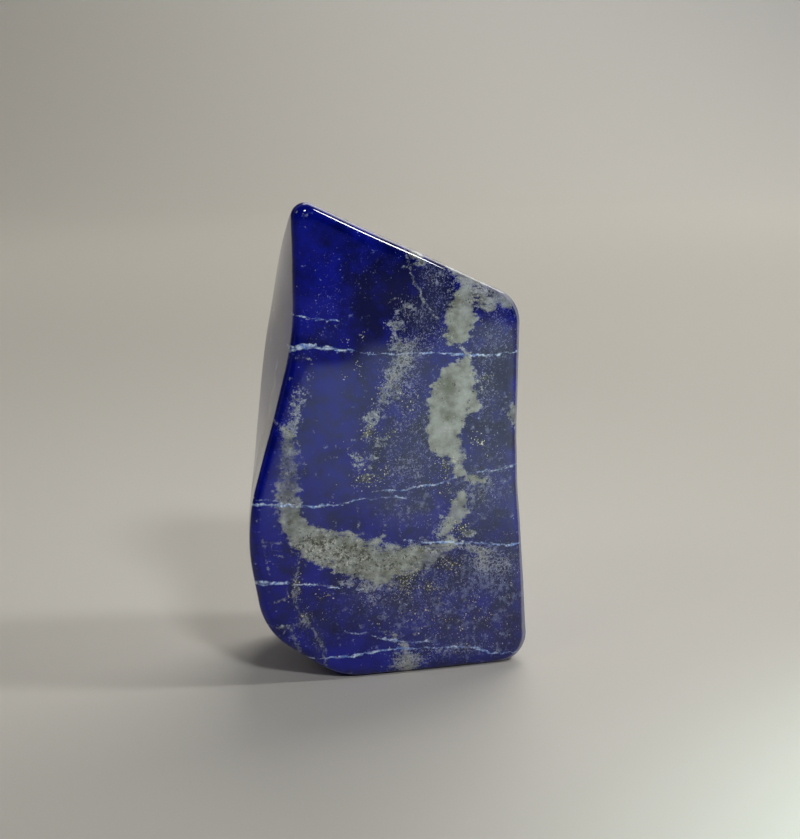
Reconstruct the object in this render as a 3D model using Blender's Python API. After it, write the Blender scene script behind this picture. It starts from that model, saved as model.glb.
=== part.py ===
"""Polished lapis lazuli freeform: one solid stone, ground flat underneath so that it stands by itself.

The stone is cut from two outlines, one on the plane of its front face and one on the plane of its back face.
Each outline is a polygon of ground cuts with rounded corners. Straight lines join the outlines through the
depth, a conic arc rounds each rim, and a shallow paraboloid domes each face, as hand lapping does.
Outline places are millimetres: x to the right seen from the front, z up from the base.
Depth runs from front to back.
"""
import math

import bmesh
import bpy
from mathutils import Vector

MM = 0.001

DEPTH = 46.0
"""Thickness of the stone from the front face's plane to the back face's plane."""

FRONT_CORNERS = {
    "apex": (-21.9, 112.4, 2.8),
    "shoulder": (33.9, 86.5, 8.0),
    "right_waist": (32.9, 50.0, 240.0),
    "right_foot": (37.0, 0.0, 6.2),
    "left_foot": (-11.0, 0.0, 18.0),
    "heel": (-29.0, 12.1, 18.0),
    "belly": (-33.6, 36.8, 50.0),
    "left_waist": (-21.4, 80.5, 60.0),
}
"""Corners of the front outline, clockwise from the top: x, z and corner radius."""

BACK_CORNERS = {
    "apex": (-12.3, 105.0, 9.0),
    "shoulder": (27.0, 86.0, 9.0),
    "right_waist": (28.5, 48.0, 150.0),
    "right_foot": (30.0, 0.0, 10.0),
    "left_foot": (-8.0, 0.0, 14.0),
    "heel": (-19.4, 10.2, 12.0),
    "belly": (-22.4, 30.0, 60.0),
    "left_waist": (-18.8, 70.0, 120.0),
}
"""The same corners on the back outline, which is narrower and lower, so that every side face leans."""

FRONT_RIM = {
    "apex": 3.0,
    "shoulder": 2.6,
    "right_waist": 2.6,
    "right_foot": 2.8,
    "left_foot": 2.8,
    "heel": 2.2,
    "belly": 2.0,
    "left_waist": 1.5,
}
"""How far each front edge is rounded. Each value is for the edge from the named corner to the next one."""

SMALLEST_RADIUS = 0.6
NEARLY_STRAIGHT = 0.02
BACK_RIM = 4.5
SIDE_BULGE = 0.6
SIDE_BULGE_HEIGHT = 30.0
"""The sides swell by SIDE_BULGE, which fades out below SIDE_BULGE_HEIGHT so that the base stays flat."""

RIGHT_ROLL = 2.2
RIGHT_ROLL_DEPTH = 5.5
RIGHT_ROLL_FROM, RIGHT_ROLL_TO = 14.0, 30.0
"""The right edge is drawn in by RIGHT_ROLL at the front and is full again at RIGHT_ROLL_DEPTH."""

FACE_CENTRE = (0.0, 52.0)
FACE_HALF = (33.0, 56.0)
FRONT_DOME = (0.9, 0.7)
BACK_DOME = (3.0, 2.2)
"""Drop of each dome at FACE_HALF from its middle, across the width and over the height."""

CORNER_STEPS = 7
EDGE_SPACING = 5.0
RIM_STEPS = 5
SIDE_SHARES = (0.03, 0.07, 0.14, 0.3, 0.52, 0.76)
FACE_RINGS = (0.25, 0.45, 0.65, 0.83, 1.0)
SMOOTH_BELOW = math.radians(40.0)

STONE_COLOUR = (0.012, 0.016, 0.15, 1.0)
STONE_ROUGHNESS = 0.08
STONE_IOR = 1.5


def inset_corners(corners, insets):
    """The corners moved inwards, so that the edge from corner i to the next lies insets[i] further in."""
    moved = []
    count = len(corners)
    for i, (x, z, radius) in enumerate(corners):
        here = Vector((x, z))
        before = Vector(corners[i - 1][:2])
        after = Vector(corners[(i + 1) % count][:2])
        into = (here - before).normalized()
        out_of = (after - here).normalized()
        normal_in = Vector((into.y, -into.x))
        normal_out = Vector((out_of.y, -out_of.x))
        turn = normal_in.cross(normal_out)
        if abs(turn) < NEARLY_STRAIGHT:
            point = here + (normal_in + normal_out) * (insets[i - 1] + insets[i]) / 4.0
        else:
            gap = (normal_out * insets[i]) - (normal_in * insets[i - 1])
            along = gap.dot(normal_out) / into.dot(normal_out)
            point = here + normal_in * insets[i - 1] + into * along
        closes = turn < 0.0
        tighter = radius - min(insets[i - 1], insets[i]) if closes else radius + insets[i]
        moved.append((point.x, point.y, max(tighter, SMALLEST_RADIUS)))
    return moved


def rounded_outline(corners, edge_steps):
    """Points around a polygon with arcs for corners: CORNER_STEPS chords per arc, edge_steps[i] on edge i."""
    arcs = []
    count = len(corners)
    for i, (x, z, radius) in enumerate(corners):
        here = Vector((x, z))
        to_before = (Vector(corners[i - 1][:2]) - here).normalized()
        to_after = (Vector(corners[(i + 1) % count][:2]) - here).normalized()
        half_angle = to_before.angle(to_after) / 2.0
        tangent = radius / math.tan(half_angle)
        start = here + to_before * tangent
        end = here + to_after * tangent
        weight = math.sin(half_angle)
        shares = [k / CORNER_STEPS for k in range(CORNER_STEPS + 1)]
        arcs.append([conic(start, here, end, weight, t) for t in shares])
    points = []
    for i, arc in enumerate(arcs):
        following = arcs[(i + 1) % count][0]
        points.extend(arc)
        points.extend(arc[-1].lerp(following, k / edge_steps[i]) for k in range(1, edge_steps[i]))
    return points


def conic(start, corner, end, weight, t):
    """A point at t on the conic arc from start to end that leaves and arrives along the lines to corner."""
    a = (1.0 - t) ** 2
    b = 2.0 * weight * t * (1.0 - t)
    c = t ** 2
    return (start * a + corner * b + end * c) / (a + b + c)


def steps_along(corners):
    """How many chords each straight edge gets, from its length."""
    count = len(corners)
    places = [Vector(corner[:2]) for corner in corners]
    lengths = [(places[(i + 1) % count] - places[i]).length for i in range(count)]
    return [max(2, round(length / EDGE_SPACING)) for length in lengths]


def shaped(point):
    """A point of the plain block, moved by the sides' swell, the right edge's roll and the two domes."""
    x, y, z = point
    back = min(max(y / DEPTH, 0.0), 1.0)
    parabola = 4.0 * back * (1.0 - back)
    swell = SIDE_BULGE * parabola * min(z / SIDE_BULGE_HEIGHT, 1.0)
    across = (x - FACE_CENTRE[0]) / FACE_HALF[0]
    upward = (z - FACE_CENTRE[1]) / FACE_HALF[1]
    rolled = min(max((x - RIGHT_ROLL_FROM) / (RIGHT_ROLL_TO - RIGHT_ROLL_FROM), 0.0), 1.0)
    in_front = max(1.0 - y / RIGHT_ROLL_DEPTH, 0.0)
    x += swell * across - RIGHT_ROLL * rolled ** 2 * in_front ** 2
    z += swell * upward * (z > FACE_CENTRE[1])
    front_drop = FRONT_DOME[0] * across ** 2 + FRONT_DOME[1] * upward ** 2
    back_drop = BACK_DOME[0] * across ** 2 + BACK_DOME[1] * upward ** 2
    return Vector((x, y + front_drop * (1.0 - back) - back_drop * back, z))


def at_depth(outline, depth):
    """An outline's points as places in the block at one depth."""
    return [Vector((p.x, depth, p.y)) for p in outline]


def rings_of_stone():
    """The skin's rings from the front face's middle, over rims and sides, to the back face's middle."""
    front_corners = list(FRONT_CORNERS.values())
    back_corners = list(BACK_CORNERS.values())
    edge_steps = steps_along(front_corners)
    front = at_depth(rounded_outline(front_corners, edge_steps), 0.0)
    back = at_depth(rounded_outline(back_corners, edge_steps), DEPTH)
    front_inset = inset_corners(front_corners, list(FRONT_RIM.values()))
    back_inset = inset_corners(back_corners, [BACK_RIM] * len(back_corners))
    front_face = at_depth(rounded_outline(front_inset, edge_steps), 0.0)
    back_face = at_depth(rounded_outline(back_inset, edge_steps), DEPTH)
    front_side = [a.lerp(b, (a - c).length / DEPTH) for a, b, c in zip(front, back, front_face)]
    back_side = [b.lerp(a, (b - c).length / DEPTH) for a, b, c in zip(front, back, back_face)]
    quarter = math.sqrt(0.5)
    rings = [scaled_face(front_face, s) for s in FACE_RINGS]
    for k in range(1, RIM_STEPS + 1):
        t = k / RIM_STEPS
        rings.append([conic(c, a, s, quarter, t) for c, a, s in zip(front_face, front, front_side)])
    for t in SIDE_SHARES:
        rings.append([a.lerp(b, t) for a, b in zip(front_side, back_side)])
    for k in range(RIM_STEPS):
        t = k / RIM_STEPS
        rings.append([conic(s, b, c, quarter, t) for s, b, c in zip(back_side, back, back_face)])
    rings.extend(scaled_face(back_face, s) for s in reversed(FACE_RINGS))
    return rings


def scaled_face(face, scale):
    """A face's outline drawn in towards its middle."""
    middle = Vector((FACE_CENTRE[0], face[0].y, FACE_CENTRE[1]))
    return [middle.lerp(p, scale) for p in face]


def build_stone():
    """The stone as one closed mesh object, its box centred on the origin and its base at z = 0."""
    rings = [[shaped(p) for p in ring] for ring in rings_of_stone()]
    front_middle = shaped(Vector((FACE_CENTRE[0], 0.0, FACE_CENTRE[1])))
    back_middle = shaped(Vector((FACE_CENTRE[0], DEPTH, FACE_CENTRE[1])))
    points = [p for ring in rings for p in ring]
    centre_x = (min(p.x for p in points) + max(p.x for p in points)) / 2.0
    centre_y = (front_middle.y + back_middle.y) / 2.0
    to_origin = Vector((-centre_x, -centre_y, 0.0))

    skin = bmesh.new()
    loops = [[skin.verts.new((p + to_origin) * MM) for p in ring] for ring in rings]
    count = len(loops[0])
    for near, far in zip(loops, loops[1:]):
        for i in range(count):
            j = (i + 1) % count
            skin.faces.new((near[i], near[j], far[j], far[i]))
    for loop, middle in ((loops[0], front_middle), (loops[-1], back_middle)):
        hub = skin.verts.new((middle + to_origin) * MM)
        for i in range(count):
            skin.faces.new((hub, loop[i], loop[(i + 1) % count]))
    bmesh.ops.recalc_face_normals(skin, faces=skin.faces)
    bmesh.ops.triangulate(skin, faces=skin.faces)

    mesh = bpy.data.meshes.new("stone")
    skin.to_mesh(mesh)
    skin.free()
    mesh.shade_smooth()
    mesh.set_sharp_from_angle(angle=SMOOTH_BELOW)
    mesh.materials.append(lapis_material())
    stone = bpy.data.objects.new("stone", mesh)
    bpy.context.scene.collection.objects.link(stone)
    return stone


def lapis_material():
    """Deep ultramarine stone with a glass-like hand polish."""
    material = bpy.data.materials.new("polished_lapis_lazuli")
    material.use_nodes = True
    shader = material.node_tree.nodes["Principled BSDF"]
    shader.inputs["Base Color"].default_value = STONE_COLOUR
    shader.inputs["Roughness"].default_value = STONE_ROUGHNESS
    shader.inputs["IOR"].default_value = STONE_IOR
    shader.inputs["Metallic"].default_value = 0.0
    return material


def main():
    for old in list(bpy.data.objects):
        bpy.data.objects.remove(old, do_unlink=True)
    build_stone()


main()
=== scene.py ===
"""A polished lapis lazuli freeform on a pale studio floor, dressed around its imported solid.

Places on the stone are millimetres in its own frame: x to the right seen from the front, z up from the base.
Markings are strokes and clouds drawn on the front face, and they run on through the depth of the stone.
"""
import math

import bpy
import numpy as np
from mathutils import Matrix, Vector


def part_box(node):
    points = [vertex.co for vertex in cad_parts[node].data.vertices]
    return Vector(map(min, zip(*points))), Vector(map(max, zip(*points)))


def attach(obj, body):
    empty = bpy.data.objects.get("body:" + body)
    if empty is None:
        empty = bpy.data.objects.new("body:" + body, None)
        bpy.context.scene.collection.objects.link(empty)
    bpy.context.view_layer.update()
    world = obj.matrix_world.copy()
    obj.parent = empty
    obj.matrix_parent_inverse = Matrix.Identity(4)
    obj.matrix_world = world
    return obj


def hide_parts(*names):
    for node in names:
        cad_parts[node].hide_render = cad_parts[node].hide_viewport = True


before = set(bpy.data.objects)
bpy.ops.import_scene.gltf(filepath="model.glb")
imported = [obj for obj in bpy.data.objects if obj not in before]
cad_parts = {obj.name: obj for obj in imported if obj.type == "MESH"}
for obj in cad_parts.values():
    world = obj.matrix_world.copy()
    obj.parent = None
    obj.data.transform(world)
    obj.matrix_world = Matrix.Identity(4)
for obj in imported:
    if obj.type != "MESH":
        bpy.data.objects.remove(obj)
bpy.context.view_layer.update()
STONE_LOW, STONE_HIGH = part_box("stone")

bl_info = {
    "name": "Polished Lapis Lazuli Freeform",
    "version": (1, 0, 0),
    "blender": (4, 5, 0),
    "location": "View3D > Sidebar > Lapis",
    "description": "Models a polished lapis lazuli freeform with calcite, white veins and pyrite",
    "category": "Object",
}

MM = 0.001
FAR = 1e6
"""A millimetre in metres, and a distance in millimetres beyond any stroke."""

FRONT_CORNERS = {
    "apex": (-21.9, 112.4, 2.8),
    "shoulder": (33.9, 86.5, 8.0),
    "right_waist": (32.9, 50.0, 240.0),
    "right_foot": (37.0, 0.0, 6.2),
    "left_foot": (-11.0, 0.0, 18.0),
    "heel": (-29.0, 12.1, 18.0),
    "belly": (-33.6, 36.8, 50.0),
    "left_waist": (-21.4, 80.5, 60.0),
}
"""Corners of the front outline, clockwise from the top: x, z and corner radius."""

BACK_CORNERS = {
    "apex": (-12.3, 105.0, 9.0),
    "shoulder": (27.0, 86.0, 9.0),
    "right_waist": (28.5, 48.0, 150.0),
    "right_foot": (30.0, 0.0, 10.0),
    "left_foot": (-8.0, 0.0, 14.0),
    "heel": (-19.4, 10.2, 12.0),
    "belly": (-22.4, 30.0, 60.0),
    "left_waist": (-18.8, 70.0, 120.0),
}
"""The same corners on the back outline."""

DEPTH = 46.0
"""Thickness from the front face's plane to the back face's plane."""

FRONT_RIM = (3.0, 2.6, 2.6, 2.8, 2.8, 2.2, 2.0, 1.5)
"""How far each front edge is rounded, in the order of the corners that the edges leave."""

BACK_RIM = 4.5
SMALLEST_RADIUS = 0.6
NEARLY_STRAIGHT = 0.02
ARC_CHORDS = 14
EDGE_CHORDS = 3
"""The fewest chords on a rounded corner or rim, and on a straight edge."""

SIDE_BULGE = 0.6
SIDE_BULGE_HEIGHT = 30.0
"""The sides swell by SIDE_BULGE, which fades out below SIDE_BULGE_HEIGHT so that the base stays flat."""

RIGHT_ROLL = 2.2
RIGHT_ROLL_DEPTH = 5.5
RIGHT_ROLL_FROM, RIGHT_ROLL_TO = 14.0, 30.0
"""The right edge is drawn in by RIGHT_ROLL at the front and is full again at RIGHT_ROLL_DEPTH."""

LEFT_ROLL = 0.45
LEFT_ROLL_WIDTH = 5.0
LEFT_BORDER = ((0.0, -12.0), (12.0, -28.5), (37.0, -33.4), (80.5, -21.9), (112.4, -21.9))
"""Height and x of the front face's left border, along which polishing rolled the face back by LEFT_ROLL."""

FACE_CENTRE = (0.0, 52.0)
FACE_HALF = (33.0, 56.0)
FRONT_DOME = (0.9, 0.7)
BACK_DOME = (3.0, 2.2)
"""Drop of each dome at FACE_HALF from its middle, across the width and over the height."""

WAVE_LENGTHS = (38.0, 29.0, 23.0, 17.0, 12.0)
FLAT_BELOW = 9.0
"""Lengths of the shallow waves that hand lapping leaves, which fade out below FLAT_BELOW."""

DRAWING_SHIFT = 0.325
"""How far right of the stone's own x the markings were drawn."""

EDGE_SIDE = 22.0
EDGE_FROM, EDGE_TO = 1.9, 6.0
# Right of EDGE_SIDE and between these depths, the edge is painted grey lavender: a painted reflection along
# the rim.
"""Right of EDGE_SIDE and between these depths, the edge was polished least and is scuffed grey."""

SATIN_SIDE = -12.0
SATIN_DEPTH = 1.6
"""Left of SATIN_SIDE and deeper than SATIN_DEPTH, the side face has a softer polish than the front."""

VEIN_REACH = 1.6
"""A vein is drawn no further than this from its line."""

LEAN_X, LEAN_Z = 0.42, -0.16
SWAY = 9.0
"""How far the drawing leans for each millimetre of depth, and how far it sways at the back."""

VEINS = {
    "level": {
        "upper dashes": (
            (-26, 86.2, 0), (-23.2, 85.6, 0.25), (-20.7, 84.9, 0.3), (-14.1, 84, 0.3), (-11.5, 83.3, 0),
        ),
        "main": (
            (-30, 77.0, 0.5), (-24, 77.8, 0.75), (-21.3, 78.4, 0.75), (-18.5, 78.3, 0.6), (-14.4, 77.7, 0.45),
            (-11.6, 77.3, 0.3), (-7, 76.4, 0.2), (-1.1, 75.7, 0.2), (3.7, 75.7, 0.28), (8.5, 75.7, 0.3),
            (13.3, 75.3, 0.3), (17.2, 74.6, 0.32), (21.9, 74.4, 0.22), (26.8, 74.8, 0.22), (34, 74.6, 0.2),
        ),
        "middle": (
            (-36, 43.2, 0.3), (-32.4, 42.9, 0.35), (-26.5, 42.5, 0.35), (-20, 41.8, 0.25), (-14.6, 41.6, 0.2),
            (-10.2, 42.5, 0.3), (-6.4, 42.8, 0.2), (0.8, 42.6, 0.12), (5, 42.3, 0),
        ),
        "lower right": (
            (1, 32.6, 0), (2.5, 32.4, 0.15), (6.1, 31.6, 0.3), (13.5, 30.9, 0.35), (21, 30.2, 0.3),
            (27.3, 29.1, 0.22), (34, 29, 0.2),
        ),
        "lower left": (
            (-35, 24.3, 0.4), (-30.8, 24.4, 0.65), (-28.5, 24.4, 0.5), (-23.4, 23.8, 0.25),
            (-18.2, 23.2, 0.22), (-13.1, 22.1, 0.22), (-8.3, 21.4, 0.12), (-5, 21, 0),
        ),
        "foot": (
            (-24, 5.6, 0.1), (-19.5, 5.6, 0.2), (-13.1, 5.5, 0.3), (-8.8, 5.7, 0.35), (-4, 6.1, 0.35),
            (0.2, 6.5, 0.3), (8.8, 5.7, 0.25), (15, 5.5, 0.3), (20.1, 4.6, 0.38), (23.9, 3, 0.3),
            (32, 2, 0.2),
        ),
    },
    "slanted": {
        "upper slant": (
            (2.4, 102, 0.2), (3.3, 98, 0.2), (4.4, 93.2, 0.22), (5.6, 90.7, 0.28), (7.5, 86.7, 0.4),
            (9.9, 83.9, 0.4), (12.3, 80.1, 0.34), (15, 77.4, 0.3), (17.2, 75.4, 0.45), (19, 72.4, 0.4),
            (20.6, 67.5, 0.3), (21.7, 65.5, 0.15), (24, 62, 0),
        ),
    },
    "second": {
        "middle strand": (
            (-6, 44.2, 0), (-4, 44.5, 0.15), (1.3, 44.3, 0.25), (6.3, 44.9, 0.25), (9.7, 44.9, 0.25),
            (12.4, 45.6, 0.2), (17, 46.8, 0.05), (22.6, 47.7, 0.2), (25.3, 47.6, 0.2), (29.3, 48, 0.2),
            (34, 48.3, 0.2),
        ),
        "middle left": (
            (-34, 44.2, 0.1), (-32.4, 44, 0.2), (-30.1, 43.8, 0.25), (-28, 43.6, 0.1), (-26.5, 43.3, 0),
        ),
        "foot strand": (
            (-15, 11.3, 0), (-13.8, 11.2, 0.1), (-6.4, 10.8, 0.05), (-4, 9.4, 0.15), (1.4, 8.1, 0.3),
            (8.8, 7, 0.2), (12, 6.2, 0),
        ),
    },
    "faint": {
        "left border": ((-31.4, 36, 0), (-31.1, 34.7, 0.15), (-29.8, 28.3, 0.2), (-29, 25.5, 0)),
        "left glint": ((-28.5, 63, 0), (-27.8, 62.1, 0.2), (-25.8, 58.4, 0.2), (-25, 57, 0)),
        "left nick": ((-30.5, 34, 0), (-29.3, 33.9, 0.2), (-26.8, 33.6, 0.2), (-25.5, 33.6, 0)),
        "left rung": ((-28.8, 30.8, 0), (-27.7, 30.7, 0.15), (-21.5, 30.2, 0.18), (-20, 30, 0)),
        "lower left rung": ((-30.5, 19.3, 0), (-29, 19.7, 0.2), (-26.4, 20.3, 0.3), (-24, 20.5, 0)),
        "left crack": (
            (-22.9, 31.5, 0.05), (-22.7, 28.3, 0.2), (-23.6, 24.8, 0.4), (-24.1, 20.8, 0.4),
            (-22.5, 17.1, 0.3), (-21.1, 15.1, 0.5), (-19, 11.8, 0.45), (-16.9, 8, 0.5),
            (-16.4, 4.1, 0.45), (-15.5, 0, 0.3),
        ),
        "heel branch": (
            (-21.1, 15.1, 0.5), (-23.4, 14.1, 0.5), (-25.8, 13.6, 0.7), (-28.3, 13.8, 0.4), (-31, 14, 0),
        ),
        "heel drop": (
            (-24.8, 13, 0.4), (-24.4, 12, 0.6), (-23.2, 9.8, 0.7), (-22.5, 7.8, 0.5), (-22, 6.5, 0),
        ),
        "centre drop": ((-9, 42.3, 0), (-8.8, 39.5, 0.2), (-8.6, 36.5, 0.1), (-8.6, 35, 0)),
        "left slant": ((-23.5, 60, 0), (-22.6, 56, 0.15), (-21, 51, 0.1), (-20.5, 48, 0)),
    },
}
"""White veins as points of x, z and half width. A width of 0 pinches the vein out."""

CALCITE = {
    "upper lobe": ((18, 93, 1.6), (17.4, 90.5, 2.0), (16.8, 87.5, 2.9), (15.9, 83.6, 3.5), (14.8, 80, 2.9)),
    "over the edge": (
        (14, 95.5, 1.2), (18, 93.2, 2.2), (21.5, 90.6, 2.8), (25.5, 88.2, 2.4), (28.5, 86.5, 1.6),
    ),
    "whitish lobe": ((20, 89.7, 2.2), (22, 87, 2), (24, 86.2, 1.4)),
    "right mass": (
        (17.5, 74.2, 1.0), (16.8, 72, 2), (14.8, 68.6, 4.4), (13.8, 66, 5.2), (12.9, 62.3, 4.9),
        (12, 58, 4.1), (11.6, 55.2, 3.7),
    ),
    "right spur": ((19.4, 66, 1), (19.2, 63.4, 1.3), (18.6, 61.5, 0.8)),
    "right tail": ((13.5, 55, 2.6), (14.9, 51, 2.1), (15.4, 48, 1.5), (15.3, 46.6, 0.6)),
    "green nub": ((18.2, 46.3, 0.9), (20.2, 45.6, 0.9), (21.8, 45, 0.5)),
    "lower triangle": (
        (16.2, 42.3, 0.8), (16.1, 40, 2.1), (15.2, 38, 2.2), (13.6, 35.6, 1.3), (12.2, 33, 0.8),
    ),
    "hook": (
        (-25, 58.5, 1.2), (-25.1, 50.6, 2.1), (-25.1, 44, 2.5), (-24.4, 39, 2.7), (-22.5, 35.4, 3),
        (-20, 33, 3.7), (-16, 31.6, 4.1), (-12, 31.3, 4.1), (-7.5, 29.2, 3.7), (-2.3, 26.6, 4.1),
        (3, 27.7, 3.2), (8.5, 28.6, 2.3), (11.6, 30.2, 1.5), (13.5, 31.6, 0.8),
    ),
    "hook tongue": ((-3, 33.6, 0.4), (-4.7, 32.7, 0.9), (-7, 30.6, 1.6)),
    "hook lip": ((-13, 27.4, 1.4), (-9, 26.2, 1.8), (-4, 24.4, 2.0), (-1.5, 23.2, 1.2)),
    "hook fringe": ((6, 25.6, 0.8), (10, 27.2, 1.0), (14, 29.2, 0.8)),
    "top rim": ((4.6, 98.2, 1), (5.6, 97.4, 1.1), (7, 96.6, 0.5)),
    "right rim": ((29.4, 62.4, 0.7), (29.2, 60.4, 1.4), (30.5, 58.5, 1)),
    "foot": ((3.1, 1.5, 1.5), (3.1, 4.6, 1.1), (2.4, 7.1, 0.5)),
    "foot dab": ((0.2, 9.3, 0.6), (0.6, 8.8, 0.5)),
}
"""Grey-green calcite as strokes of x, z and half width."""

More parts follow.
